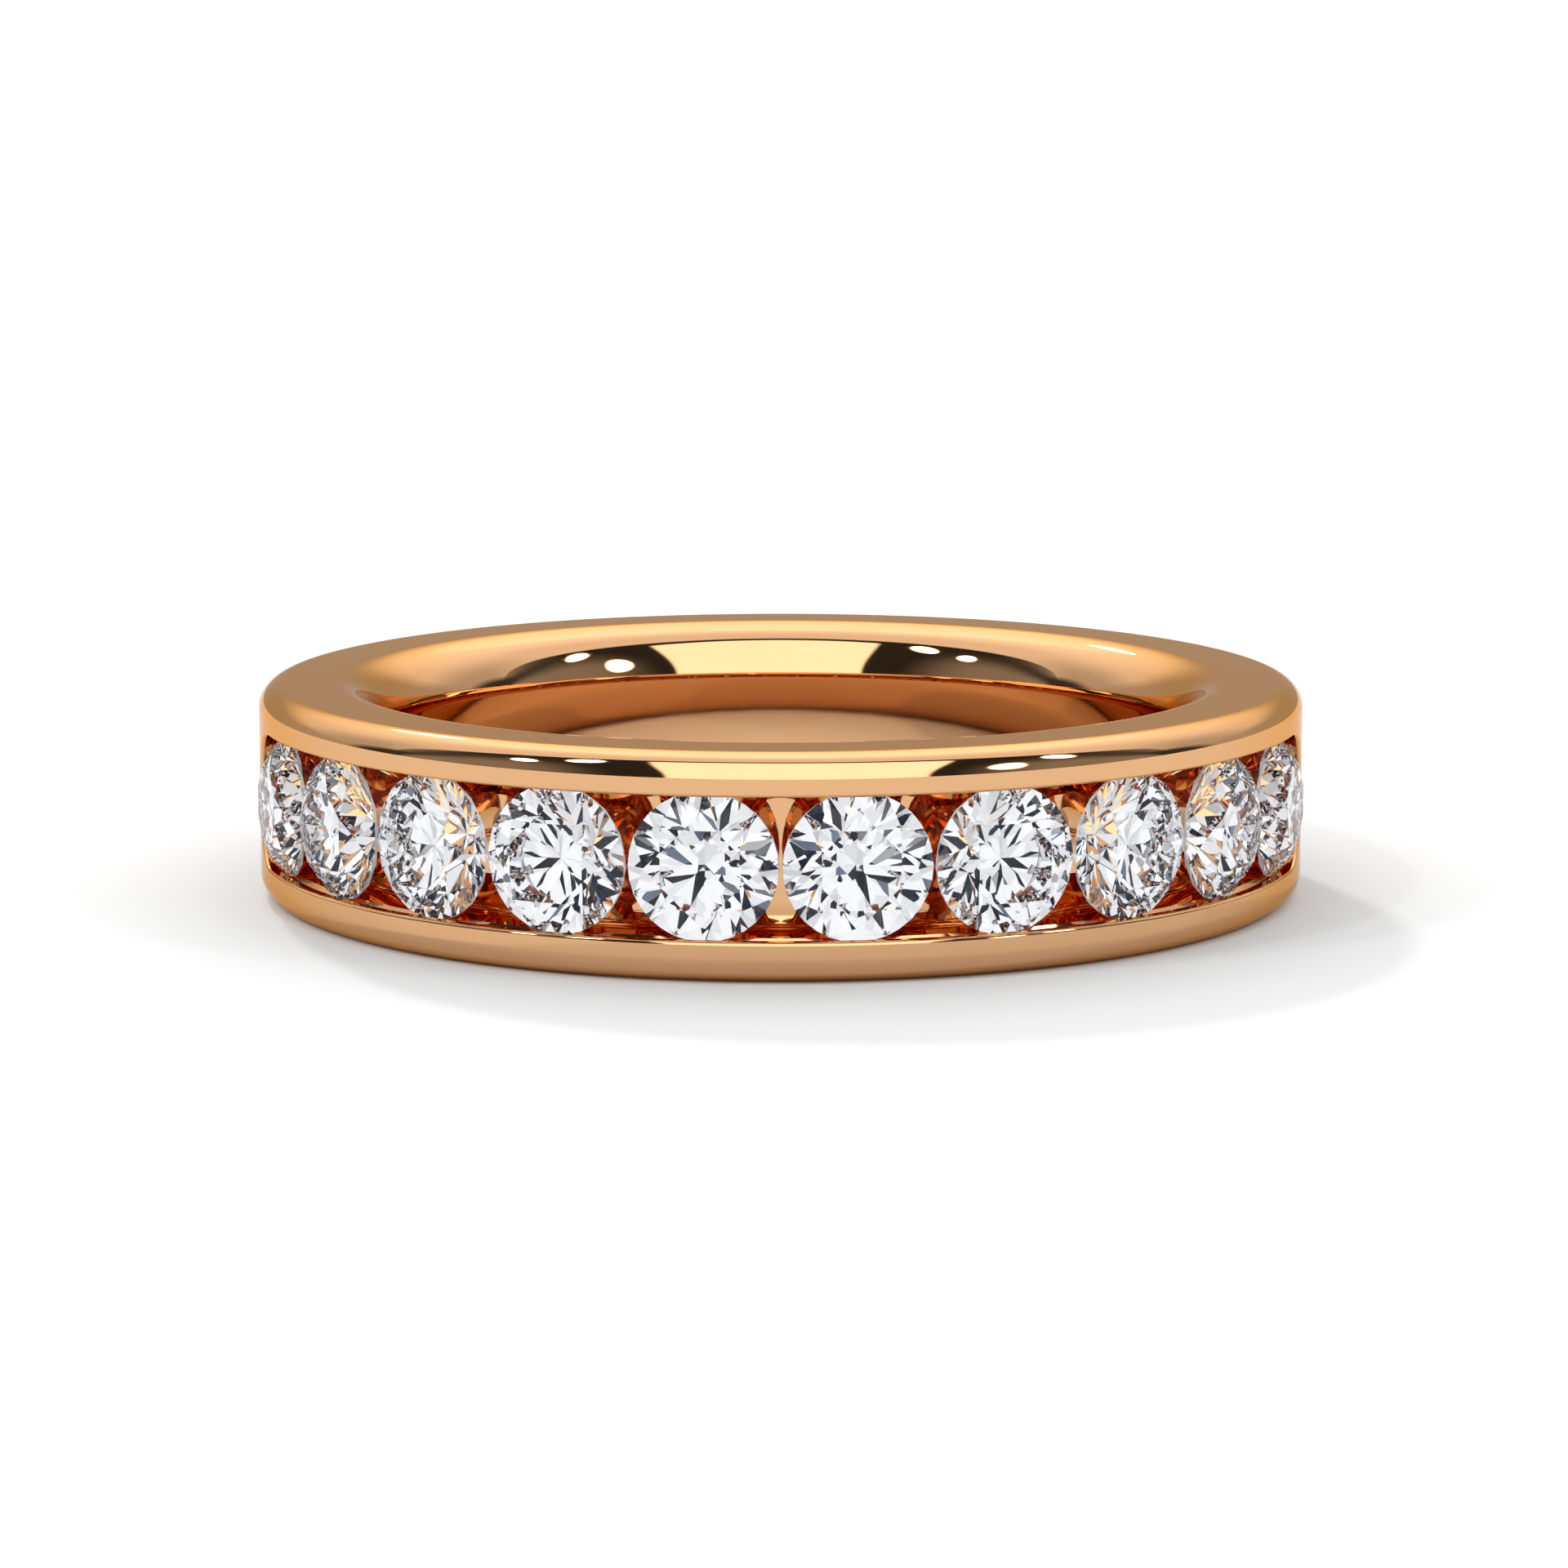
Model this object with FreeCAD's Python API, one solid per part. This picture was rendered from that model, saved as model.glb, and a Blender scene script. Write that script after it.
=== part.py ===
import FreeCAD, Part
import math
import os

from FreeCAD import Placement, Rotation, Vector

# A channel-set half-eternity wedding band, in millimetres.
#
# The band is one lost-wax casting: a comfort-fit shank whose front half carries a channel between
# two rails. Ten round brilliants stand in the channel girdle to girdle. Each stone's girdle is held
# top and bottom in a bearing groove cut in the rails, so nothing on the ring moves once it is set.
#
# The origin is the centre of the bore. +Z runs along the bore, so the ring lies on a side face.
# The middle of the row of stones faces -Y, and +X is to the right of someone looking at it.

# Driving dimensions of the band
BORE_RADIUS = 8.46
WALL_THICKNESS = 2.69
BAND_WIDTH = 4.54
OUTER_EDGE_RADIUS = 0.52
COMFORT_DEPTH = 1.08
COMFORT_HEIGHT = 1.22

# Driving dimensions of the stones
STONE_COUNT = 10
STONE_DIAMETER = 2.98
STONE_GAP = 0.032
GIRDLE_DEPTH_BELOW_RAIL = 0.366
TABLE_RATIO = 0.57
STAR_RATIO = 0.50
LOWER_HALF_RATIO = 0.77
CROWN_ANGLE = 34.5
PAVILION_ANGLE = 40.75
GIRDLE_THICKNESS = 0.09
GIRDLE_SIDES = 32
STONE_FOLDS = 8

# Driving dimensions of the setting
CHANNEL_WIDTH = 2.85
CHANNEL_FLOOR_RADIUS = 9.60
CHANNEL_END_CLEARANCE = 0.14
CHANNEL_END_ROUND = 1.36
CHANNEL_COVE = 0.28
RAIL_EDGE_ROUND = 0.07
GROOVE_DEPTH = 0.10
GROOVE_MOUTH = 0.30
GROOVE_ROOT = 0.14
GROOVE_RUNOUT = 0.62
SEAT_BOTTOM_RADIUS = 8.95
SEAT_HALF_LENGTH = 1.33
SEAT_HALF_WIDTH = 1.29
SEAT_SIDE_CURVE = 2.90
SEAT_BOTTOM_SCALE = 0.62
BAR_END_CENTRE = 1.08
AZURE_DIAMETER = 1.10

# How far a cutter runs past the surface that it opens
OVERRUN = 0.15
GROOVE_OVERLAP = 0.02

# Sizes that follow from them
OUTER_RADIUS = BORE_RADIUS + WALL_THICKNESS
HALF_WIDTH = BAND_WIDTH / 2
GIRDLE_RADIUS = OUTER_RADIUS - GIRDLE_DEPTH_BELOW_RAIL
STONE_RADIUS = STONE_DIAMETER / 2
STONE_PITCH = 2 * math.asin((STONE_DIAMETER + STONE_GAP) / 2 / GIRDLE_RADIUS)
LAST_STONE_ANGLE = STONE_PITCH * (STONE_COUNT - 1) / 2
CHANNEL_END_ANGLE = STONE_PITCH * STONE_COUNT / 2 + CHANNEL_END_CLEARANCE / GIRDLE_RADIUS
GROOVE_END_ANGLE = LAST_STONE_ANGLE + GROOVE_RUNOUT / GIRDLE_RADIUS
BAR_CENTRE = CHANNEL_FLOOR_RADIUS * math.sin(STONE_PITCH / 2)
FOLD_ANGLE = 2 * math.pi / STONE_FOLDS
FRONT_ANGLE = -90.0

ORIGIN = Vector(0, 0, 0)
BORE_AXIS = Vector(0, 0, 1)
FRONT = Vector(0, -1, 0)


def section_point(radius, height):
    """A point of the band's section, drawn in the plane that looks out along +X."""
    return Vector(radius, 0, height)


def quarter_round(start, corner_centre, end):
    """The quarter circle from start to end about corner_centre, bulging away from it."""
    middle = (start + end) / 2 - corner_centre
    middle.normalize()
    radius = (start - corner_centre).Length
    return Part.Arc(start, corner_centre + middle * radius, end).toShape()


def revolved(edges, start_angle, sweep_angle):
    """A closed outline in the XZ plane, turned about the bore from start_angle, in degrees."""
    face = Part.Face(Part.Wire(edges))
    face.rotate(ORIGIN, BORE_AXIS, start_angle)
    return face.revolve(ORIGIN, BORE_AXIS, sweep_angle)


def comfort_round(side):
    """The elliptical round between the bore and the top (side 1) or bottom (side -1) face."""
    centre = section_point(BORE_RADIUS + COMFORT_DEPTH, side * (HALF_WIDTH - COMFORT_HEIGHT))
    face_end = centre + BORE_AXIS * (side * COMFORT_HEIGHT)
    bore_end = section_point(BORE_RADIUS, centre.z)
    return Part.ArcOfEllipse(Part.Ellipse(face_end, bore_end, centre), 0, math.pi / 2).toShape()


def shank_blank():
    """The plain comfort-fit ring before the channel is cut."""
    inner_flat = BORE_RADIUS + COMFORT_DEPTH
    outer_flat = OUTER_RADIUS - OUTER_EDGE_RADIUS
    bore_half = HALF_WIDTH - COMFORT_HEIGHT
    wall_half = HALF_WIDTH - OUTER_EDGE_RADIUS

    bore_top = section_point(BORE_RADIUS, bore_half)
    face_top_inner = section_point(inner_flat, HALF_WIDTH)
    face_top_outer = section_point(outer_flat, HALF_WIDTH)
    wall_top = section_point(OUTER_RADIUS, wall_half)
    wall_bottom = section_point(OUTER_RADIUS, -wall_half)
    face_bottom_outer = section_point(outer_flat, -HALF_WIDTH)
    face_bottom_inner = section_point(inner_flat, -HALF_WIDTH)
    bore_bottom = section_point(BORE_RADIUS, -bore_half)

    outline = [
        comfort_round(1),
        Part.makeLine(face_top_inner, face_top_outer),
        quarter_round(face_top_outer, section_point(outer_flat, wall_half), wall_top),
        Part.makeLine(wall_top, wall_bottom),
        quarter_round(wall_bottom, section_point(outer_flat, -wall_half), face_bottom_outer),
        Part.makeLine(face_bottom_outer, face_bottom_inner),
        comfort_round(-1),
        Part.makeLine(bore_bottom, bore_top),
    ]
    return revolved(outline, FRONT_ANGLE, 360)


def arc_sector(corners, end_angle):
    """A section given by its (radius, height) corners, turned to end_angle each side of the front."""
    points = [section_point(radius, height) for radius, height in corners]
    edges = [Part.makeLine(points[i - 1], points[i]) for i in range(len(points))]
    end_degrees = math.degrees(end_angle)
    return revolved(edges, FRONT_ANGLE - end_degrees, 2 * end_degrees)


def channel_cutter():
    """The channel: two flat walls, coves along the floor, and ends that go round the last stones."""
    mouth = OUTER_RADIUS + OVERRUN
    half_width = CHANNEL_WIDTH / 2
    corners = [(CHANNEL_FLOOR_RADIUS, -half_width), (mouth, -half_width),
               (mouth, half_width), (CHANNEL_FLOOR_RADIUS, half_width)]
    cutter = arc_sector(corners, CHANNEL_END_ANGLE)
    end_corners = [edge for edge in cutter.Edges if runs_outward(edge)]
    cutter = cutter.makeFillet(CHANNEL_END_ROUND, end_corners)
    floor_edges = [edge for edge in cutter.Edges if lies_at_radius(edge, CHANNEL_FLOOR_RADIUS)]
    return cutter.makeFillet(CHANNEL_COVE, floor_edges)


def runs_outward(edge):
    """True for a straight edge that points away from the bore axis."""
    return isinstance(edge.Curve, Part.Line) and abs(edge.tangentAt(edge.FirstParameter).z) < 0.01


def lies_at_radius(edge, radius):
    """True for an edge whose ends and middle are all at this distance from the bore axis."""
    span = edge.LastParameter - edge.FirstParameter
    points = [edge.valueAt(edge.FirstParameter + span * part) for part in (0, 0.5, 1)]
    return all(abs(math.hypot(point.x, point.y) - radius) < 0.002 for point in points)


def bearing_groove(side):
    """The V groove in one rail, side +1 or -1, that holds the girdles."""
    wall = side * (CHANNEL_WIDTH / 2 - GROOVE_OVERLAP)
    root = side * (CHANNEL_WIDTH / 2 + GROOVE_DEPTH)
    corners = [(GIRDLE_RADIUS - GROOVE_MOUTH / 2, wall), (GIRDLE_RADIUS + GROOVE_MOUTH / 2, wall),
               (GIRDLE_RADIUS + GROOVE_ROOT / 2, root), (GIRDLE_RADIUS - GROOVE_ROOT / 2, root)]
    return arc_sector(corners, GROOVE_END_ANGLE)


def seat_side(y):
    """Half the width of a seat at this distance from its middle, on its barrel-shaped side."""
    return SEAT_HALF_WIDTH - (SEAT_SIDE_CURVE - math.sqrt(SEAT_SIDE_CURVE ** 2 - y ** 2))


def seat_outline(scale, height):
    """The plan of a seat, as a wire at this height above the bore axis.

    Its sides bulge like a barrel, which leaves a waisted bar between one seat and the next, and
    its four corners curl round the ends of the bars.
    """
    end_radius = BAR_CENTRE - seat_side(BAR_END_CENTRE)
    curl_mid = math.radians(40)
    tip_rise = SEAT_HALF_LENGTH - BAR_END_CENTRE
    tip_x = BAR_CENTRE - math.sqrt(end_radius ** 2 - tip_rise ** 2)
    middle = (BAR_CENTRE - end_radius * math.cos(curl_mid),
              BAR_END_CENTRE + end_radius * math.sin(curl_mid))
    quarter = [(seat_side(BAR_END_CENTRE), BAR_END_CENTRE), middle, (tip_x, SEAT_HALF_LENGTH)]

    def corner(x_side, y_side):
        return [Vector(x * x_side * scale, y * y_side * scale, height) for x, y in quarter]

    right_up, left_up = corner(1, 1), corner(-1, 1)
    left_down, right_down = corner(-1, -1), corner(1, -1)
    right_middle = Vector(SEAT_HALF_WIDTH * scale, 0, height)
    left_middle = Vector(-SEAT_HALF_WIDTH * scale, 0, height)
    return Part.Wire([
        Part.Arc(right_down[0], right_middle, right_up[0]).toShape(),
        Part.Arc(*right_up).toShape(),
        Part.makeLine(right_up[2], left_up[2]),
        Part.Arc(*left_up[::-1]).toShape(),
        Part.Arc(left_up[0], left_middle, left_down[0]).toShape(),
        Part.Arc(*left_down).toShape(),
        Part.makeLine(left_down[2], right_down[2]),
        Part.Arc(*right_down[::-1]).toShape(),
    ])


def seat_cutter():
    """One seat under a stone, tapering inward, and the azure hole on through to the bore.

    It is drawn on the stone's own axis: local z is the distance from the bore axis and local y
    runs along the bore.
    """
    bottom = seat_outline(SEAT_BOTTOM_SCALE, SEAT_BOTTOM_RADIUS)
    mouth = seat_outline(1, CHANNEL_FLOOR_RADIUS)
    seat = Part.makeLoft([bottom, mouth], True, True)
    opening = Part.Face(mouth).extrude(Vector(0, 0, OVERRUN))
    azure_start = BORE_RADIUS - 2 * OVERRUN
    azure = Part.makeCylinder(AZURE_DIAMETER / 2, SEAT_BOTTOM_RADIUS + OVERRUN - azure_start,
                              Vector(0, 0, azure_start))
    return seat.fuse([opening, azure])


def set_on_ring(shape, number):
    """Turn a shape from its own axis to the place of stone `number`, counted from the left."""
    angle = math.degrees(STONE_PITCH) * (number - (STONE_COUNT + 1) / 2)
    placed = shape.copy()
    stand_up = Rotation(Vector(1, 0, 0), Vector(0, 0, 1), FRONT, "XYZ")
    turn = Rotation(BORE_AXIS, angle)
    placed.Placement = Placement(ORIGIN, turn.multiply(stand_up)).multiply(shape.Placement)
    return placed


def is_channel_mouth(edge):
    """True for an edge where the channel opens through the outside of the band."""
    return lies_at_radius(edge, OUTER_RADIUS) and edge.BoundBox.ZMax < HALF_WIDTH - OUTER_EDGE_RADIUS \
        and edge.BoundBox.ZMin > OUTER_EDGE_RADIUS - HALF_WIDTH and edge.CenterOfMass.y < 0


def make_band():
    """The casting with its channel, grooves, seats and azure holes."""
    band = shank_blank().cut(channel_cutter())
    mouth_edges = [edge for edge in band.Edges if is_channel_mouth(edge)]
    band = band.makeFillet(RAIL_EDGE_ROUND, mouth_edges)
    for side in (1, -1):
        band = band.cut(bearing_groove(side))
    seat = seat_cutter()
    for number in range(1, STONE_COUNT + 1):
        band = band.cut(set_on_ring(seat, number))
    return band


def ground(stone, facet_angle, azimuth, point):
    """Grind one flat facet: its normal leans facet_angle from +z, and it passes through point."""
    normal = Vector(math.sin(facet_angle) * math.cos(azimuth),
                    math.sin(facet_angle) * math.sin(azimuth), math.cos(facet_angle))
    size = 4 * STONE_DIAMETER
    lap = Part.makeBox(size, size, size, Vector(-size / 2, -size / 2, 0))
    lap.Placement = Placement(point, Rotation(Vector(0, 0, 1), normal))
    return stone.cut(lap)


def polar(radius, azimuth, height):
    """A point at this radius and azimuth about the stone's axis."""
    return Vector(radius * math.cos(azimuth), radius * math.sin(azimuth), height)


def half_facet_angle(tip_radius, tip_rise):
    """The angle of a half facet from the girdle chord up to its tip, half a fold to one side."""
    quarter_fold = FOLD_ANGLE / 4
    run = (STONE_RADIUS - tip_radius) * math.cos(quarter_fold)
    return math.atan2(tip_rise, run)


def make_brilliant():
    """A round brilliant on its own axis: girdle at z = 0, table up, kites in line with x."""
    crown_angle = math.radians(CROWN_ANGLE)
    pavilion_angle = math.radians(PAVILION_ANGLE)
    girdle_top = GIRDLE_THICKNESS / 2
    half_fold = FOLD_ANGLE / 2
    quarter_fold = FOLD_ANGLE / 4

    table_radius = TABLE_RATIO * STONE_RADIUS
    table_height = girdle_top + (STONE_RADIUS - table_radius) * math.tan(crown_angle)
    table_edge = table_radius * math.cos(half_fold)
    star_radius = table_edge + STAR_RATIO * (STONE_RADIUS - table_edge)
    star_rise = (STONE_RADIUS - star_radius * math.cos(half_fold)) * math.tan(crown_angle)
    star_angle = math.atan2(table_height - girdle_top - star_rise, star_radius - table_edge)
    lower_radius = (1 - LOWER_HALF_RATIO) * STONE_RADIUS
    lower_drop = (STONE_RADIUS - lower_radius * math.cos(half_fold)) * math.tan(pavilion_angle)

    outline = [polar(STONE_RADIUS, 2 * math.pi * i / GIRDLE_SIDES, -STONE_DIAMETER)
               for i in range(GIRDLE_SIDES + 1)]
    blank = Part.Face(Part.makePolygon(outline)).extrude(Vector(0, 0, 2 * STONE_DIAMETER))
    stone = ground(blank, 0, 0, Vector(0, 0, table_height))
    for fold in range(STONE_FOLDS):
        azimuth = fold * FOLD_ANGLE
        corner_top = polar(STONE_RADIUS, azimuth, girdle_top)
        corner_bottom = polar(STONE_RADIUS, azimuth, -girdle_top)
        stone = ground(stone, crown_angle, azimuth, corner_top)
        stone = ground(stone, math.pi - pavilion_angle, azimuth, corner_bottom)
        stone = ground(stone, star_angle, azimuth + half_fold,
                       polar(table_edge, azimuth + half_fold, table_height))
        for side in (-1, 1):
            half_azimuth = azimuth + side * quarter_fold
            upper = half_facet_angle(star_radius, star_rise)
            lower = half_facet_angle(lower_radius, lower_drop)
            stone = ground(stone, upper, half_azimuth, corner_top)
            stone = ground(stone, math.pi - lower, half_azimuth, corner_bottom)
    return stone


def placed_brilliant(stone, number):
    """Set a brilliant in the channel with a flat side of its table parallel to the rails."""
    raised = stone.copy()
    raised.Placement = Placement(Vector(0, 0, GIRDLE_RADIUS),
                                 Rotation(Vector(0, 0, 1), math.degrees(FOLD_ANGLE / 2)))
    return set_on_ring(raised, number)


def main():
    os.makedirs("parts", exist_ok=True)
    make_band().exportStep("parts/band.step")
    brilliant = make_brilliant()
    for number in range(1, STONE_COUNT + 1):
        placed_brilliant(brilliant, number).exportStep(f"parts/stone_{number:02d}.step")


main()
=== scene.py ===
"""Looks for the channel-set half-eternity wedding band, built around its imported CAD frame."""
import math

import bpy
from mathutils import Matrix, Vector


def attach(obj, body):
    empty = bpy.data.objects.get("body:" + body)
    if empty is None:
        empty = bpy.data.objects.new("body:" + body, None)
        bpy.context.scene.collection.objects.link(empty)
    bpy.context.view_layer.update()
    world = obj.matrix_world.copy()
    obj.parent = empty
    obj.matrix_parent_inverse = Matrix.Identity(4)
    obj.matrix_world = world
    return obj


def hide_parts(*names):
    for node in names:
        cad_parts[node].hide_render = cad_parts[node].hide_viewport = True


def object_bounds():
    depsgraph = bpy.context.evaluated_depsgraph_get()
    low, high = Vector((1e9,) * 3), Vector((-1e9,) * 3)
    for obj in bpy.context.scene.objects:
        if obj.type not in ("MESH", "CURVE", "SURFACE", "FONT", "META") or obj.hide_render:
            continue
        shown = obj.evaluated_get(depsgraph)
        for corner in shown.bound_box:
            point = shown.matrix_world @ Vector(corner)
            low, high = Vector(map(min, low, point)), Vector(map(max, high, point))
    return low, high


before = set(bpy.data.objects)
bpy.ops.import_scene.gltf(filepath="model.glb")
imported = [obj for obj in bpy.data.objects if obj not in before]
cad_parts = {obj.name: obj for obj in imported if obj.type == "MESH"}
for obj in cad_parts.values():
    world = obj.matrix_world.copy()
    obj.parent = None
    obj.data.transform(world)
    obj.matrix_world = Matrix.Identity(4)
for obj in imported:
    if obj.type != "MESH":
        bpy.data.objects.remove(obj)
CAD_BOX = [list(corner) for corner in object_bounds()]

MM = 0.001
STONE_NAMES = sorted(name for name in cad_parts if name.startswith("stone_"))
STONE_COUNT = len(STONE_NAMES)

# The band's design dimensions, in millimetres, the same as in the CAD source
BORE_RADIUS = 8.46
WALL_THICKNESS = 2.69
BAND_WIDTH = 4.54
OUTER_EDGE_RADIUS = 0.52
COMFORT_DEPTH = 1.08
COMFORT_HEIGHT = 1.22
OUTER_RADIUS = BORE_RADIUS + WALL_THICKNESS
HALF_WIDTH = BAND_WIDTH / 2
STONE_DIAMETER = 2.98
STONE_GAP = 0.032
GIRDLE_DEPTH_BELOW_RAIL = 0.366
GIRDLE_RADIUS = OUTER_RADIUS - GIRDLE_DEPTH_BELOW_RAIL
STONE_PITCH = 2 * math.asin((STONE_DIAMETER + STONE_GAP) / 2 / GIRDLE_RADIUS)
CHANNEL_WIDTH = 2.85
CHANNEL_FLOOR_RADIUS = 9.60
CHANNEL_END_MARGIN = 0.14
CHANNEL_END_ANGLE = STONE_PITCH * STONE_COUNT / 2 + CHANNEL_END_MARGIN / GIRDLE_RADIUS
CHANNEL_END_ROUND = 1.36
CHANNEL_COVE = 0.28
RAIL_EDGE_ROUND = 0.07
RAIL_EDGE_SWEEP = math.radians(78)
GROOVE_DEPTH = 0.10
GROOVE_MOUTH = 0.30
GROOVE_ROOT = 0.14
GROOVE_END_MARGIN = 0.62
GROOVE_END_ANGLE = STONE_PITCH * (STONE_COUNT - 1) / 2 + GROOVE_END_MARGIN / GIRDLE_RADIUS
SEAT_BOTTOM_RADIUS = 8.95
SEAT_HALF_LENGTH = 1.33
SEAT_HALF_WIDTH = 1.29
SEAT_SIDE_CURVE = 2.90
SEAT_BOTTOM_SCALE = 0.62
BAR_CENTRE = CHANNEL_FLOOR_RADIUS * math.sin(STONE_PITCH / 2)
BAR_END_CENTRE = 1.08
AZURE_DIAMETER = 1.10
OVERRUN = 0.15
GROOVE_OVERRUN = 0.02
CHANNEL_MOUTH_OVERRUN = 0.5

# How finely the polished surfaces are divided
RING_STEPS = 512
ROUND_STEPS = 14
CHANNEL_STEPS = 240
AZURE_STEPS = 48

# Gold and diamond: linear reflectance of a warm rose alloy, and the stones' refraction
GOLD_COLOUR = (0.811, 0.466, 0.240, 1.0)
GOLD_COLOUR_WARM = (0.815, 0.458, 0.232, 1.0)
GOLD_GRAZING_TINT = (0.90, 0.65, 0.40, 1.0)
GOLD_ROUGHNESS = (0.02, 0.05)
BUFFING_PER_TURN = 14
BUFFING_PER_METRE = 22000
BUFFING_HEIGHT = 0.00002 * MM
WAVES_PER_METRE = 700
WAVE_HEIGHT = 0.0006 * MM
DIAMOND_COLOUR = (0.985, 0.99, 1.0, 1.0)
DIAMOND_IOR = 2.417
DIAMOND_SURFACE_TINT = (0.12, 0.12, 0.12, 1.0)
PAVILION_SILVER = 0.95
GIRDLE_ROUGHNESS = 0.3
FACET_SLOPE = 0.35

# Camera
CAMERA_DISTANCE = 111.3 * MM
CAMERA_ELEVATION = math.radians(9.09)
CAMERA_AWAY = Vector((0, -math.cos(CAMERA_ELEVATION), math.sin(CAMERA_ELEVATION)))
CAMERA_AIM = Vector((0, 0, -0.075 * MM))
CAMERA_LENS = 118.75
CAMERA_SHIFT = 0.0021

# What the stones gather: cells of a tent, from dark to bright, and one dark flag
SPARKLE_CELLS = 3.4
SPARKLE_RANDOMNESS = 0.85
SPARKLE_DARK = ((0.0, (0.015, 0.02, 0.035, 1)), (0.20, (0.15, 0.18, 0.24, 1)))
SPARKLE_BRIGHT = ((0.28, 0.42), (0.42, 0.66), (0.62, 0.84), (0.82, 1.04))
FLAG_HALF_ANGLE = math.radians(14)
FLAG_COLOUR = (0.012, 0.016, 0.025, 1)

# Floor and backdrop
FLOOR_RADIUS = 3.0
FLOOR_REFLECTANCE = 0.8
FLOOR_EXPOSURE = 1.12
BACKDROP_LEVEL = 1.0

# Studio levels, and places as (across, over): see studio_light
CEILING_EDGE = 78.0
CEILING_EDGE_CURVE = 24.0
CEILING_LEVEL = 0.98
GAP_LEVEL = 0.03
CEILING_SIDE_LEVEL = 0.56
BACK_WALL_EDGE = 158.0
BACK_WALL_LEVEL = 0.50
ROOM_END_LEVEL = 0.05
SIDE_LIFT = 0.26

# Soft back panel and the glow round it: middle, half size, softness and level
BACK_GLOW = ((0.0, 128.0), (0.56, 30.0), 0.45, 1.45)
BACK_PANEL = ((-0.01, 127.0), (0.40, 24.0), 0.10, 1.68)

# Front panel
FRONT_MIDDLE = 0.055
FRONT_HALF_WIDTH = 0.465
FRONT_NARROWING = 0.09
FRONT_NARROWING_REACH = 74.0
FRONT_BOTTOM = -20.0
FRONT_TOP = 73.0
FRONT_LEVEL = 1.84

# Lamps of the studio: middle (across, over), half size, lean, brightness in the metal, and
# the share of the floor's light that the lamp gives
LAMPS = (((-0.72, 61.0), (0.034, 7.0), 0.0030, 12.0, 0.04),
         ((-0.52, 67.0), (0.050, 6.8), 0.0060, 12.0, 0.04),
         ((0.72, 34.0), (0.050, 16.0), -0.0016, 6.0, 0.0),
         ((0.73, 72.0), (0.046, 7.5), -0.0060, 12.0, 0.03),
         ((-0.25, 143.0), (0.032, 3.2), 0.0, 22.0, 0.12))
LAMP_SOFTNESS = 0.18
LAMP_WIDTH = math.radians(5)
SOFT_SHARE = 1.0 - sum(lamp[-1] for lamp in LAMPS)
SOFT_FRONT_LEAN = -0.35

NORMAL_LAYER = "polished_normal"


class Solid:
    """A closed mesh under construction, with the exact surface normal kept at each face corner."""

    def __init__(self):
        self.points = []
        self.faces = []
        self.normals = []

    def add(self, points):
        first = len(self.points)
        self.points.extend(points)
        return list(range(first, first + len(points)))

    def face(self, corners, normals=None):
        self.faces.append(corners)
        self.normals.append(normals or [Vector((0, 0, 0))] * len(corners))

    def strip(self, loop_a, loop_b, normals_a=None, normals_b=None, closed=True):
        """Quads between two loops of equal length."""
        count = len(loop_a)
        for i in range(count if closed else count - 1):
            j = (i + 1) % count
            normals = None
            if normals_a:
                normals = [normals_a[i], normals_a[j], normals_b[j], normals_b[i]]
            self.face([loop_a[i], loop_a[j], loop_b[j], loop_b[i]], normals)

    def build(self, name):
        mesh = bpy.data.meshes.new(name)
        mesh.from_pydata([point * MM for point in self.points], [], self.faces)
        layer = mesh.attributes.new(NORMAL_LAYER, "FLOAT_VECTOR", "CORNER")
        flat = [value for corner in self.normals for normal in corner for value in normal]
        layer.data.foreach_set("vector", flat)
        made = bpy.data.objects.new(name, mesh)
        bpy.context.scene.collection.objects.link(made)
        return made


def outward(angle):
    """The direction away from the bore axis at this angle from the middle of the stones."""
    return Vector((math.sin(angle), -math.cos(angle), 0))


def along(angle):
    """The direction round the ring, towards the right, at this angle."""
    return Vector((math.cos(angle), math.sin(angle), 0))


UP = Vector((0, 0, 1))


def ring_point(radius, angle, height):
    return outward(angle) * radius + UP * height


def section_normal(out, up, angle):
    return (outward(angle) * out + UP * up).normalized()


def quarter(centre, size, start_angle):
    """A quarter of an ellipse in the section as (radius, height, outward part, upward part)."""
    points = []
    for step in range(ROUND_STEPS + 1):
        angle = start_angle + step * math.pi / 2 / ROUND_STEPS
        out, up = math.cos(angle), math.sin(angle)
        points.append((centre[0] + size[0] * out, centre[1] + size[1] * up,
                       out / size[0], up / size[1]))
    return points


def shank_section():
    """The band's closed section, with the normal at each point."""
    inner = BORE_RADIUS + COMFORT_DEPTH
    outer = OUTER_RADIUS - OUTER_EDGE_RADIUS
    bore_half = HALF_WIDTH - COMFORT_HEIGHT
    wall_half = HALF_WIDTH - OUTER_EDGE_RADIUS
    outer_round = (OUTER_EDGE_RADIUS, OUTER_EDGE_RADIUS)
    comfort_round = (COMFORT_DEPTH, COMFORT_HEIGHT)
    section = quarter((outer, wall_half), outer_round, 0)
    section += quarter((inner, bore_half), comfort_round, math.pi / 2)
    section += quarter((inner, -bore_half), comfort_round, math.pi)
    section += quarter((outer, -wall_half), outer_round, 3 * math.pi / 2)
    return section


def revolve(section, angles, closed):
    """A solid turned from a closed section of (radius, height, out, up) points or flat sides."""
    solid = Solid()
    loops = [solid.add([ring_point(r, a, h) for r, h, _, _ in section]) for a in angles]
    normals = [[section_normal(out, up, a) for _, _, out, up in section] for a in angles]
    count = len(angles)
    for i in range(count if closed else count - 1):
        j = (i + 1) % count
        solid.strip(loops[i], loops[j], normals[i], normals[j])
    if not closed:
        solid.face(loops[0][::-1])
        solid.face(loops[-1])
    return solid


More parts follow.
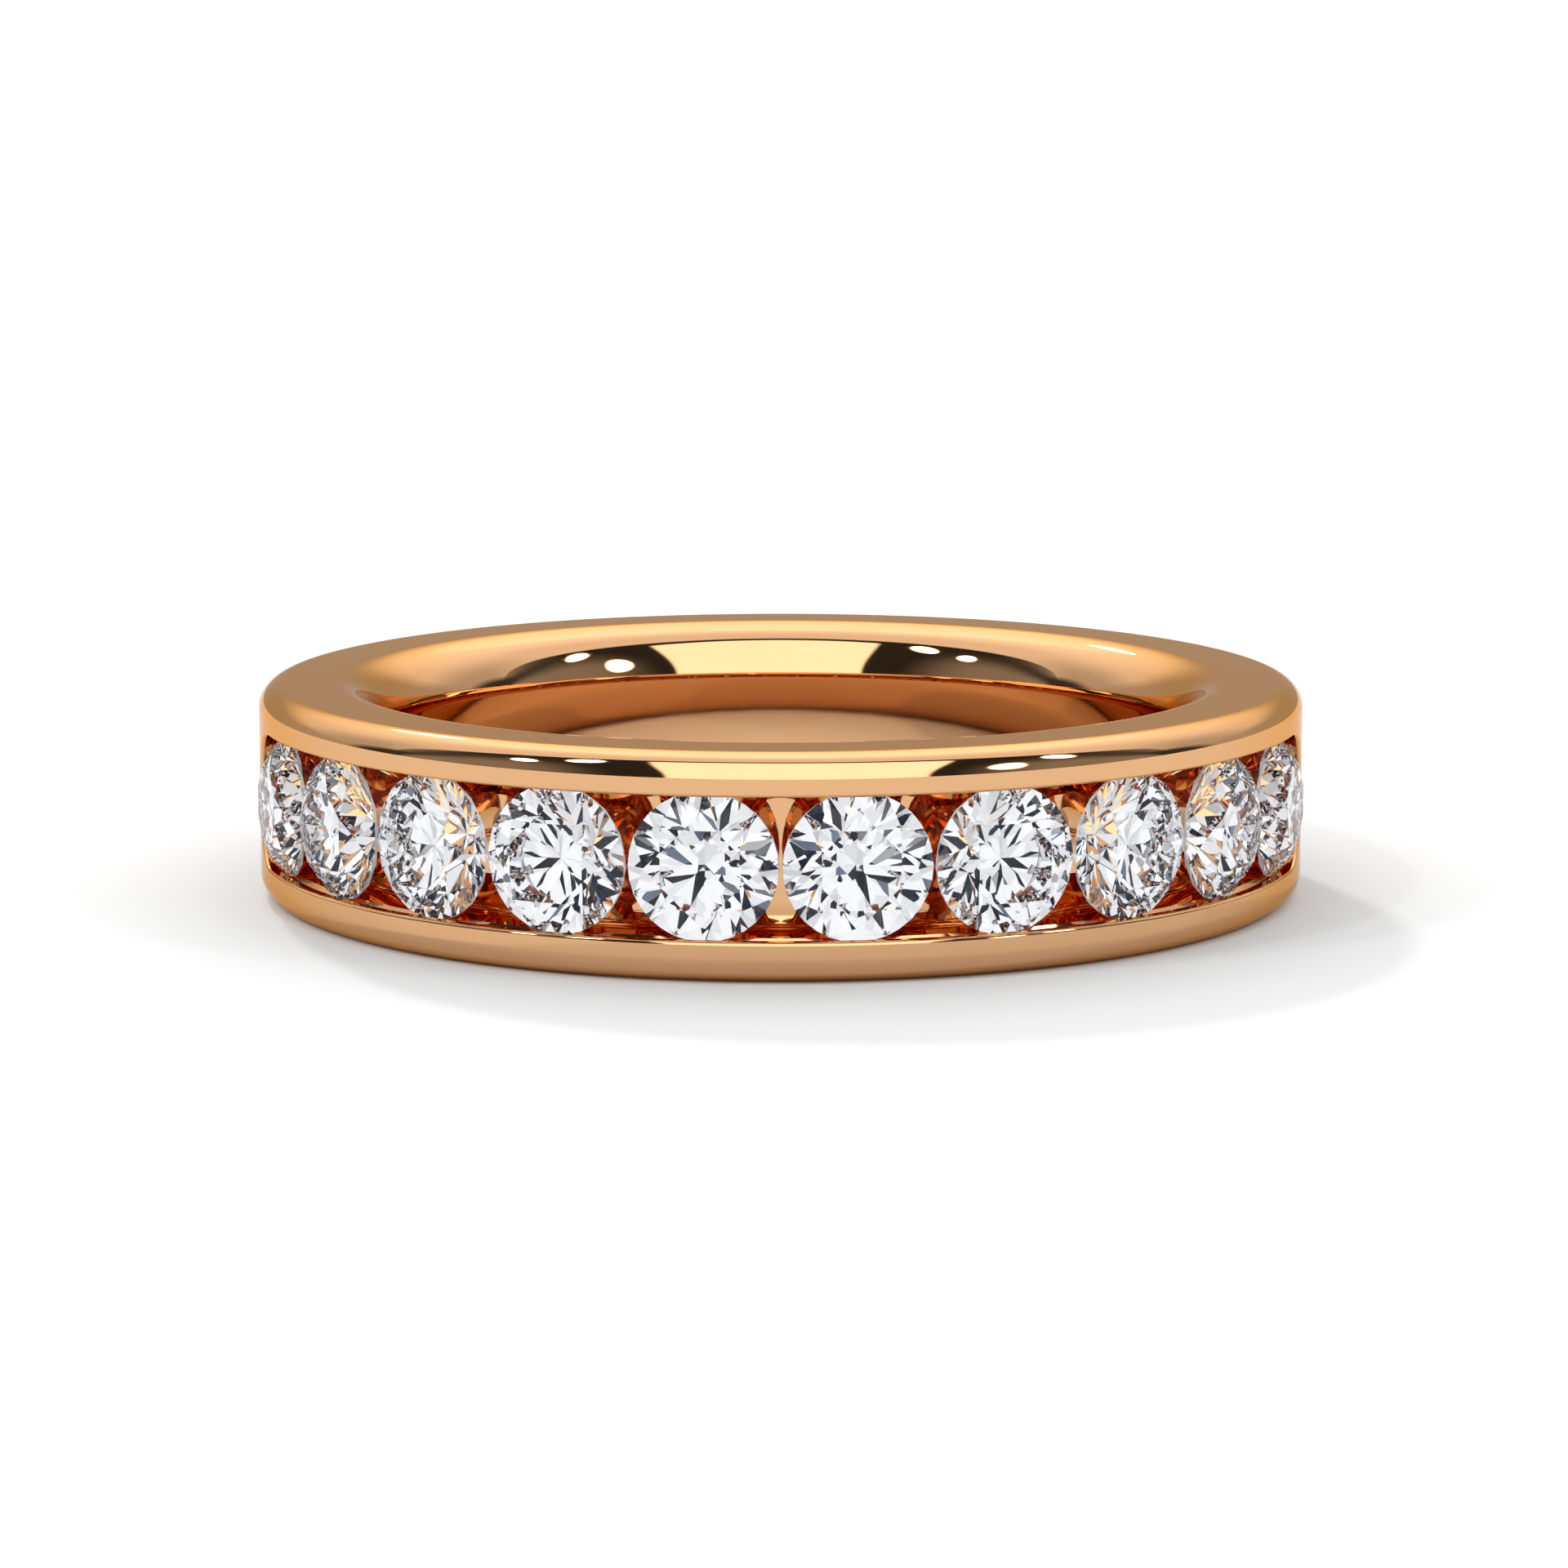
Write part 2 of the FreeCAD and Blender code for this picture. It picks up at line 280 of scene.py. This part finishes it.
def shank():
    angles = [2 * math.pi * i / RING_STEPS for i in range(RING_STEPS)]
    return revolve(shank_section()[::-1], angles, True).build("band_polished")


def sector_angles(end_angle, steps):
    return [end_angle * (2 * i / steps - 1) for i in range(steps + 1)]


def flat_sided_sector(name, corners, end_angle):
    """A sector turned from a straight-sided outline; each side keeps its own normal."""
    solid = Solid()
    angles = sector_angles(end_angle, CHANNEL_STEPS)
    loops = [solid.add([ring_point(r, a, h) for r, h in corners]) for a in angles]
    count = len(corners)
    for k in range(count):
        n = (k + 1) % count
        out = -(corners[n][1] - corners[k][1])
        up = corners[n][0] - corners[k][0]
        for i in range(len(angles) - 1):
            first = section_normal(out, up, angles[i])
            second = section_normal(out, up, angles[i + 1])
            solid.face([loops[i][k], loops[i + 1][k], loops[i + 1][n], loops[i][n]],
                       [first, second, second, first])
    solid.face(loops[0])
    solid.face(loops[-1][::-1])
    return solid.build(name)


def groove(side):
    """The bearing groove of the upper (side 1) or lower (side -1) rail."""
    wall = CHANNEL_WIDTH / 2 - GROOVE_OVERRUN
    root = CHANNEL_WIDTH / 2 + GROOVE_DEPTH
    corners = [(GIRDLE_RADIUS - GROOVE_MOUTH / 2, wall * side),
               (GIRDLE_RADIUS + GROOVE_MOUTH / 2, wall * side),
               (GIRDLE_RADIUS + GROOVE_ROOT / 2, root * side),
               (GIRDLE_RADIUS - GROOVE_ROOT / 2, root * side)]
    if side < 0:
        corners.reverse()
    return flat_sided_sector("groove", corners, GROOVE_END_ANGLE)


def rounded_plan(half_length, half_height, corner):
    """The upper half of a rounded rectangle, left to right, as (u, v, normal u, normal v)."""
    straight = half_length - corner
    left = []
    for step in range(ROUND_STEPS):
        angle = math.pi - step * math.pi / 2 / ROUND_STEPS
        left.append((-straight + corner * math.cos(angle),
                     half_height - corner + corner * math.sin(angle),
                     math.cos(angle), math.sin(angle)))
    top = [(straight * (2 * step / CHANNEL_STEPS - 1), half_height, 0, 1)
           for step in range(CHANNEL_STEPS + 1)]
    right = [(-u, v, -nu, nv) for u, v, nu, nv in left[::-1]]
    return left + top + right


def channel_levels():
    """The channel's side from floor to mouth: (radius, inset, share outward, share sideways)."""
    levels = []
    for step in range(ROUND_STEPS + 1):
        a = step * math.pi / 2 / ROUND_STEPS
        levels.append((CHANNEL_FLOOR_RADIUS + CHANNEL_COVE * (1 - math.cos(a)),
                       -CHANNEL_COVE * (1 - math.sin(a)), math.cos(a), math.sin(a)))
    for step in range(ROUND_STEPS + 1):
        b = step * RAIL_EDGE_SWEEP / ROUND_STEPS
        levels.append((OUTER_RADIUS - RAIL_EDGE_ROUND * (1 - math.sin(b)),
                       RAIL_EDGE_ROUND * (1 - math.cos(b)), math.sin(b), math.cos(b)))
    radius, inset, out, side = levels[-1]
    levels.append((radius + CHANNEL_MOUTH_OVERRUN * side, inset + CHANNEL_MOUTH_OVERRUN * out,
                   out, side))
    return levels


def channel():
    """The cutter for the channel: rounded loops stacked from the floor out past the mouth."""
    solid = Solid()
    loops, normals = [], []
    for radius, inset, out, side in channel_levels():
        upper = rounded_plan(radius * CHANNEL_END_ANGLE + inset, CHANNEL_WIDTH / 2 + inset,
                             CHANNEL_END_ROUND + inset)
        lower = [(u, -v, nu, -nv) for u, v, nu, nv in upper[::-1]]
        plan = upper + lower
        loops.append(solid.add([ring_point(radius, u / radius, v) for u, v, _, _ in plan]))
        normals.append([(outward(u / radius) * out - (along(u / radius) * nu + UP * nv) * side)
                        for u, _, nu, nv in plan])
    for k in range(len(loops) - 1):
        solid.strip(loops[k + 1], loops[k], normals[k + 1], normals[k])
    count = len(loops[0])
    for loop, level_normals, order in ((loops[0], normals[0], 1), (loops[-1], normals[-1], -1)):
        for i in range(count // 2 - 1):
            corners = [i, i + 1, count - 2 - i, count - 1 - i][::order]
            solid.face([loop[c] for c in corners], [level_normals[c] for c in corners])
    return solid.build("channel")


def stone_angle(number):
    return STONE_PITCH * (number - (STONE_COUNT + 1) / 2)


def on_stone_axis(angle, x, y, depth):
    """A point given across the ring, along the bore, and outward on a stone's own axis."""
    return along(angle) * x + UP * y + outward(angle) * depth


def seat_side(y):
    """Half the width of a seat at this distance from its middle, on its barrel-shaped side."""
    return SEAT_HALF_WIDTH - (SEAT_SIDE_CURVE - math.sqrt(SEAT_SIDE_CURVE ** 2 - y ** 2))


def seat_plan(scale):
    """The outline of a seat: barrel sides, and corners that curl round the ends of the bars."""
    steps = 2 * ROUND_STEPS
    side = []
    for step in range(-steps, steps + 1):
        y = BAR_END_CENTRE * step / steps
        side.append((seat_side(y), y))
    end_radius = BAR_CENTRE - seat_side(BAR_END_CENTRE)
    sweep = math.asin((SEAT_HALF_LENGTH - BAR_END_CENTRE) / end_radius)
    curl = []
    for step in range(1, ROUND_STEPS + 1):
        angle = sweep * step / ROUND_STEPS
        curl.append((BAR_CENTRE - end_radius * math.cos(angle),
                     BAR_END_CENTRE + end_radius * math.sin(angle)))
    right = [(x, -y) for x, y in curl[::-1]] + side + curl
    return [(x * scale, y * scale) for x, y in right + [(-x, -y) for x, y in right]]


def seat(angle):
    """The tapered seat under one stone."""
    solid = Solid()
    bottom, floor, mouth = [
        solid.add([on_stone_axis(angle, x, y, depth) for x, y in seat_plan(scale)])
        for scale, depth in ((SEAT_BOTTOM_SCALE, SEAT_BOTTOM_RADIUS),
                             (1, CHANNEL_FLOOR_RADIUS), (1, CHANNEL_FLOOR_RADIUS + OVERRUN))]
    solid.strip(bottom, floor)
    solid.strip(floor, mouth)
    solid.face(bottom[::-1])
    solid.face(mouth)
    return solid.build("seat")


def azure(angle):
    """The round hole from a seat through to the bore."""
    turns = [2 * math.pi * i / AZURE_STEPS for i in range(AZURE_STEPS)]
    radius = AZURE_DIAMETER / 2
    solid = Solid()
    inner, outer = [
        solid.add([on_stone_axis(angle, radius * math.cos(t), radius * math.sin(t), depth)
                   for t in turns])
        for depth in (BORE_RADIUS - 2 * OVERRUN, SEAT_BOTTOM_RADIUS + OVERRUN)]
    normals = [-(along(angle) * math.cos(t) + UP * math.sin(t)) for t in turns]
    solid.strip(inner, outer, normals, normals)
    solid.face(inner[::-1])
    solid.face(outer)
    return solid.build("azure")


def cut(target, cutter):
    """Cut one solid out of another for good, and drop the cutter."""
    modifier = target.modifiers.new("cut", "BOOLEAN")
    modifier.operation = "DIFFERENCE"
    modifier.solver = "MANIFOLD"
    modifier.object = cutter
    bpy.context.view_layer.update()
    evaluated = target.evaluated_get(bpy.context.evaluated_depsgraph_get())
    mesh = bpy.data.meshes.new_from_object(evaluated)
    target.modifiers.remove(modifier)
    old = target.data
    target.data = mesh
    bpy.data.meshes.remove(old)
    bpy.data.objects.remove(cutter)


def polish(piece):
    """Shade every face corner with its exact surface normal, and the seats as flat facets."""
    mesh = piece.data
    mesh.update()
    layer = mesh.attributes[NORMAL_LAYER].data
    normals = []
    for polygon in mesh.polygons:
        polygon.use_smooth = True
        for corner in polygon.loop_indices:
            kept = Vector(layer[corner].vector)
            normals.append(kept.normalized() if kept.length > 0.5 else polygon.normal.copy())
    mesh.attributes.remove(mesh.attributes[NORMAL_LAYER])
    mesh.normals_split_custom_set(normals)


def make_band():
    band = shank()
    cut(band, channel())
    for side in (1, -1):
        cut(band, groove(side))
    for number in range(1, STONE_COUNT + 1):
        cut(band, seat(stone_angle(number)))
        cut(band, azure(stone_angle(number)))
    polish(band)
    return band


class Graph:
    """A short way to write a node tree: each call adds one node and returns its output."""

    def __init__(self, tree):
        self.tree = tree

    def node(self, kind, **settings):
        made = self.tree.nodes.new(kind)
        for name, value in settings.items():
            setattr(made, name, value)
        return made

    def join(self, source, socket):
        if isinstance(source, (int, float, tuple)):
            socket.default_value = source
        else:
            self.tree.links.new(source, socket)

    def math(self, operation, *inputs):
        made = self.node("ShaderNodeMath", operation=operation)
        for i, value in enumerate(inputs):
            self.join(value, made.inputs[i])
        return made.outputs[0]

    def rise(self, value, edge, softness):
        """0 below the edge and 1 above it, with a smooth rise of this half width."""
        made = self.node("ShaderNodeMapRange", interpolation_type="SMOOTHSTEP")
        self.join(value, made.inputs["Value"])
        made.inputs["From Min"].default_value = edge - softness
        made.inputs["From Max"].default_value = edge + softness
        return made.outputs["Result"]

    def window(self, value, low, high, softness):
        """1 between low and high."""
        return self.math("MULTIPLY", self.rise(value, low, softness),
                         self.math("SUBTRACT", 1.0, self.rise(value, high, softness)))

    def ellipse(self, across, over, centre, size, lean, softness):
        """1 inside an ellipse whose long way leans by `lean` across per unit over."""
        v = self.math("SUBTRACT", over, centre[1])
        u = self.math("SUBTRACT", self.math("SUBTRACT", across, centre[0]),
                      self.math("MULTIPLY", v, lean))
        u = self.math("POWER", self.math("DIVIDE", u, size[0]), 2.0)
        v = self.math("POWER", self.math("DIVIDE", v, size[1]), 2.0)
        distance = self.math("SQRT", self.math("ADD", u, v))
        return self.math("SUBTRACT", 1.0, self.rise(distance, 1.0, softness))

    def mix(self, mask, below, above):
        """below where the mask is 0 and above where it is 1."""
        made = self.node("ShaderNodeMix", data_type="FLOAT")
        self.join(mask, made.inputs[0])
        self.join(below, made.inputs[2])
        self.join(above, made.inputs[3])
        return made.outputs[0]

    def noise(self, place, scale, detail):
        made = self.node("ShaderNodeTexNoise")
        self.join(place, made.inputs["Vector"])
        made.inputs["Scale"].default_value = scale
        made.inputs["Detail"].default_value = detail
        return made.outputs[0]

    def blend(self, value, low, high):
        """Spread a 0 to 1 value from low to high."""
        return self.math("MULTIPLY_ADD", value, high - low, low)

    def mix_colour(self, mask, below, above):
        made = self.node("ShaderNodeMix", data_type="RGBA")
        self.join(mask, made.inputs["Factor"])
        self.join(below, made.inputs[6])
        self.join(above, made.inputs[7])
        return made.outputs[2]


def sparkle_light(graph, direction):
    """What the stones gather: a bright tent with dark flags in it, so every facet is crisp."""
    cells = graph.node("ShaderNodeTexVoronoi", feature="F1")
    graph.join(direction, cells.inputs["Vector"])
    cells.inputs["Scale"].default_value = SPARKLE_CELLS
    cells.inputs["Randomness"].default_value = SPARKLE_RANDOMNESS
    pick = graph.node("ShaderNodeSeparateColor")
    graph.join(cells.outputs["Color"], pick.inputs[0])
    ramp = graph.node("ShaderNodeValToRGB")
    graph.join(pick.outputs[0], ramp.inputs[0])
    ramp.color_ramp.interpolation = "CONSTANT"
    stops = ramp.color_ramp.elements
    for stop, (position, colour) in zip(stops, SPARKLE_DARK):
        stop.position = position
        stop.color = colour
    for position, shade in SPARKLE_BRIGHT:
        stops.new(position).color = (shade, shade * 1.005, shade * 1.02, 1)
    towards = graph.node("ShaderNodeVectorMath", operation="DOT_PRODUCT")
    graph.join(direction, towards.inputs[0])
    towards.inputs[1].default_value = CAMERA_AWAY
    flag = graph.rise(towards.outputs["Value"], math.cos(FLAG_HALF_ANGLE), 0.004)
    return graph.mix_colour(flag, ramp.outputs[0], FLAG_COLOUR)


def add_room(graph, across, over):
    """Ceiling, back wall and the dark ends of the room."""
    aside = graph.math("ABSOLUTE", across)
    curve = graph.math("MULTIPLY", graph.math("POWER", aside, 3.0), CEILING_EDGE_CURVE)
    past_edge = graph.math("SUBTRACT", over, graph.math("ADD", CEILING_EDGE, curve))
    level = graph.mix(graph.rise(past_edge, 0.0, 1.5), GAP_LEVEL, CEILING_LEVEL)
    ceiling_side = graph.math("MULTIPLY", graph.rise(aside, 0.80, 0.14),
                              graph.rise(over, 95.0, 25.0))
    level = graph.mix(ceiling_side, level, CEILING_SIDE_LEVEL)
    level = graph.mix(graph.rise(over, BACK_WALL_EDGE, 7.0), level, BACK_WALL_LEVEL)
    return graph.mix(graph.rise(aside, 0.965, 0.02), level, ROOM_END_LEVEL)


def add_back_panel(graph, across, over, level):
    for centre, size, softness, power in (BACK_GLOW, BACK_PANEL):
        panel = graph.ellipse(across, over, centre, size, 0.0, softness)
        level = graph.mix(panel, level, power)
    return level


def lift_sides(graph, across, over, level):
    """The front sides of the room aren't black: they lighten further out."""
    side = graph.math("MULTIPLY", graph.rise(graph.math("ABSOLUTE", across), 0.72, 0.16),
                      graph.math("SUBTRACT", 1.0, graph.rise(over, 62.0, 22.0)))
    return graph.math("ADD", level, graph.math("MULTIPLY", side, SIDE_LIFT))


def add_front_panel(graph, across, over, level):
    """The front panel narrows upwards and leaves a thin dark gap below the ceiling."""
    reach = graph.math("POWER", graph.math("DIVIDE", over, FRONT_NARROWING_REACH), 3.0)
    half_width = graph.math("SUBTRACT", FRONT_HALF_WIDTH,
                            graph.math("MULTIPLY", reach, FRONT_NARROWING))
    off_middle = graph.math("ABSOLUTE", graph.math("SUBTRACT", across, FRONT_MIDDLE))
    past_side = graph.math("SUBTRACT", off_middle, half_width)
    panel = graph.math("MULTIPLY",
                       graph.math("SUBTRACT", 1.0, graph.rise(past_side, 0.0, 0.012)),
                       graph.window(over, FRONT_BOTTOM, FRONT_TOP, 1.0))
    return graph.mix(panel, level, FRONT_LEVEL)


def add_lamps(graph, across, over, level):
    for centre, size, lean, power, _ in LAMPS:
        lamp = graph.ellipse(across, over, centre, size, lean, LAMP_SOFTNESS)
        level = graph.mix(lamp, level, power)
    return level


def light_on_floor(graph, path, front, level):
    """The floor is lit softly and evenly, and not by light thrown off the metal."""
    soft = graph.math("MULTIPLY_ADD", front, SOFT_FRONT_LEAN, 1.0)
    soft = graph.math("MULTIPLY", soft, SOFT_SHARE / FLOOR_REFLECTANCE)
    soft = graph.math("MULTIPLY", soft, path.outputs["Is Diffuse Ray"])
    on_floor = graph.math("GREATER_THAN", path.outputs["Diffuse Depth"], 0.5)
    return graph.mix(on_floor, level, soft)


def studio_light():
    """The studio: a curved front panel, a ceiling, a soft back panel and a few round lamps.

    Directions are read in panel coordinates: `across` is the direction's x, and `over` is the
    angle in degrees from the front horizon (0) over the zenith (90) to the back horizon (180).
    """
    world = bpy.data.worlds.new("studio")
    bpy.context.scene.world = world
    world.use_nodes = True
    world.cycles.sampling_method = "NONE"
    background = world.node_tree.nodes["Background"]
    background.inputs["Color"].default_value = (1, 1, 1, 1)
    graph = Graph(world.node_tree)
    direction = graph.node("ShaderNodeTexCoord").outputs["Generated"]
    split = graph.node("ShaderNodeSeparateXYZ")
    graph.join(direction, split.inputs[0])
    across, y, z = split.outputs
    front = graph.math("MULTIPLY", y, -1.0)
    over = graph.math("MULTIPLY", graph.math("ARCTAN2", z, front), 180 / math.pi)

    level = add_room(graph, across, over)
    level = add_back_panel(graph, across, over, level)
    level = lift_sides(graph, across, over, level)
    level = add_front_panel(graph, across, over, level)
    level = add_lamps(graph, across, over, level)

    # Below the horizon and for the view past the floor, the studio is plain and pale
    level = graph.mix(graph.rise(z, 0.0, 0.004), BACKDROP_LEVEL, level)
    path = graph.node("ShaderNodeLightPath")
    level = graph.mix(path.outputs["Is Camera Ray"], level, BACKDROP_LEVEL)
    level = light_on_floor(graph, path, front, level)
    grey = graph.node("ShaderNodeCombineColor")
    for socket in grey.inputs[:3]:
        graph.join(level, socket)
    shade = graph.mix_colour(path.outputs["Is Transmission Ray"], grey.outputs[0],
                             sparkle_light(graph, direction))
    graph.join(shade, background.inputs["Color"])


def make_lamp_suns():
    """The lamps as the floor sees them: each throws its own soft-edged shadow of the ring."""
    for (across, over), _, _, _, share in LAMPS:
        if share == 0:
            continue
        height = math.radians(over)
        level = math.sqrt(1 - across ** 2)
        towards = Vector((across, -level * math.cos(height), level * math.sin(height)))
        data = bpy.data.lights.new("lamp", "SUN")
        data.energy = share * math.pi / FLOOR_REFLECTANCE / towards.z
        data.angle = LAMP_WIDTH
        lamp = bpy.data.objects.new("lamp", data)
        lamp.rotation_euler = towards.to_track_quat("Z", "Y").to_euler()
        lamp.visible_glossy = False
        lamp.visible_transmission = False
        bpy.context.scene.collection.objects.link(lamp)


def make_floor():
    """A wide plain pale floor under the ring."""
    bpy.ops.mesh.primitive_circle_add(vertices=128, radius=FLOOR_RADIUS, fill_type="NGON",
                                      location=(0, 0, CAD_BOX[0][2]))
    floor = bpy.context.object
    floor.name = "floor"
    material = bpy.data.materials.new("pale_floor")
    material.use_nodes = True
    graph = Graph(material.node_tree)
    shader = material.node_tree.nodes["Principled BSDF"]
    in_metal = (FLOOR_REFLECTANCE,) * 3 + (1.0,)
    in_view = (FLOOR_REFLECTANCE * FLOOR_EXPOSURE,) * 3 + (1.0,)
    seen = graph.node("ShaderNodeLightPath").outputs["Is Camera Ray"]
    graph.join(graph.mix_colour(seen, in_metal, in_view), shader.inputs["Base Color"])
    shader.inputs["Roughness"].default_value = 0.9
    shader.inputs["Specular IOR Level"].default_value = 0.0
    floor.data.materials.append(material)


def around_the_ring(graph, per_turn, across):
    """Coordinates for a noise: slow round the ring, and quick across it, in cells per metre."""
    split = graph.node("ShaderNodeSeparateXYZ")
    graph.join(graph.node("ShaderNodeTexCoord").outputs["Object"], split.inputs[0])
    x, y, z = split.outputs
    squared = graph.math("ADD", graph.math("POWER", x, 2.0), graph.math("POWER", y, 2.0))
    turn = graph.math("ABSOLUTE", graph.math("ARCTAN2", x, y))
    place = graph.node("ShaderNodeCombineXYZ")
    graph.join(graph.math("MULTIPLY", turn, per_turn / math.pi), place.inputs[0])
    graph.join(graph.math("MULTIPLY", graph.math("SQRT", squared), across), place.inputs[1])
    graph.join(graph.math("MULTIPLY", z, across), place.inputs[2])
    return place.outputs[0]


def gold_material():
    """Mirror-polished rose gold: faint buffing lines round the ring and a slight hand-made wave."""
    material = bpy.data.materials.new("rose_gold_polish")
    material.use_nodes = True
    graph = Graph(material.node_tree)
    shader = material.node_tree.nodes["Principled BSDF"]
    shader.inputs["Metallic"].default_value = 1.0
    shader.inputs["Specular Tint"].default_value = GOLD_GRAZING_TINT

    lines = graph.noise(around_the_ring(graph, BUFFING_PER_TURN, BUFFING_PER_METRE), 1.0, 4.0)
    wave = graph.noise(graph.node("ShaderNodeTexCoord").outputs["Object"], WAVES_PER_METRE, 2.0)
    graph.join(graph.blend(lines, *GOLD_ROUGHNESS), shader.inputs["Roughness"])
    graph.join(graph.mix_colour(wave, GOLD_COLOUR, GOLD_COLOUR_WARM), shader.inputs["Base Color"])

    relief = graph.math("ADD", graph.math("MULTIPLY", lines, BUFFING_HEIGHT),
                        graph.math("MULTIPLY", wave, WAVE_HEIGHT))
    bump = graph.node("ShaderNodeBump")
    bump.inputs["Distance"].default_value = 1.0
    graph.join(relief, bump.inputs["Height"])
    graph.join(bump.outputs[0], shader.inputs["Normal"])
    return material


def diamond_material():
    """Clear facets on the crown, silvered ones below the girdle, and a frosted girdle edge."""
    material = bpy.data.materials.new("diamond")
    material.use_nodes = True
    graph = Graph(material.node_tree)
    shader = material.node_tree.nodes["Principled BSDF"]
    shader.inputs["Transmission Weight"].default_value = 1.0
    shader.inputs["IOR"].default_value = DIAMOND_IOR
    surface = graph.node("ShaderNodeNewGeometry")
    radial = graph.node("ShaderNodeVectorMath", operation="MULTIPLY")
    graph.join(surface.outputs["Position"], radial.inputs[0])
    radial.inputs[1].default_value = (1, 1, 0)
    unit = graph.node("ShaderNodeVectorMath", operation="NORMALIZE")
    graph.join(radial.outputs[0], unit.inputs[0])
    facing = graph.node("ShaderNodeVectorMath", operation="DOT_PRODUCT")
    graph.join(surface.outputs["Normal"], facing.inputs[0])
    graph.join(unit.outputs[0], facing.inputs[1])
    side = graph.math("MULTIPLY_ADD", surface.outputs["Backfacing"], -2.0, 1.0)
    rise = graph.math("MULTIPLY", facing.outputs["Value"], side)
    pavilion = graph.math("LESS_THAN", rise, -FACET_SLOPE)
    girdle = graph.math("LESS_THAN", graph.math("ABSOLUTE", rise), FACET_SLOPE)
    graph.join(graph.math("MULTIPLY", pavilion, PAVILION_SILVER), shader.inputs["Metallic"])
    graph.join(graph.mix_colour(pavilion, DIAMOND_SURFACE_TINT, (1, 1, 1, 1)),
               shader.inputs["Specular Tint"])
    graph.join(graph.math("MULTIPLY", girdle, GIRDLE_ROUGHNESS), shader.inputs["Roughness"])
    shader.inputs["Base Color"].default_value = DIAMOND_COLOUR
    return material


def dress(piece, material):
    piece.data.materials.clear()
    piece.data.materials.append(material)


def make_camera():
    camera = bpy.data.objects.new("camera", bpy.data.cameras.new("camera"))
    bpy.context.scene.collection.objects.link(camera)
    camera.location = CAMERA_AIM + CAMERA_AWAY * CAMERA_DISTANCE
    camera.rotation_euler = (-CAMERA_AWAY).to_track_quat("-Z", "Y").to_euler()
    camera.data.lens = CAMERA_LENS
    camera.data.sensor_width = 36
    camera.data.shift_x = CAMERA_SHIFT
    camera.data.clip_start = 0.005
    camera.data.clip_end = 20
    bpy.context.scene.camera = camera


def main():
    make_camera()
    studio_light()
    make_lamp_suns()
    make_floor()
    band = make_band()
    dress(band, gold_material())
    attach(band, "root")
    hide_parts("band")
    diamond = diamond_material()
    for name in STONE_NAMES:
        dress(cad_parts[name], diamond)
    bpy.context.scene.view_settings.view_transform = "Standard"
    cycles = bpy.context.scene.cycles
    cycles.max_bounces = 40
    cycles.glossy_bounces = 24
    cycles.transmission_bounces = 24


main()
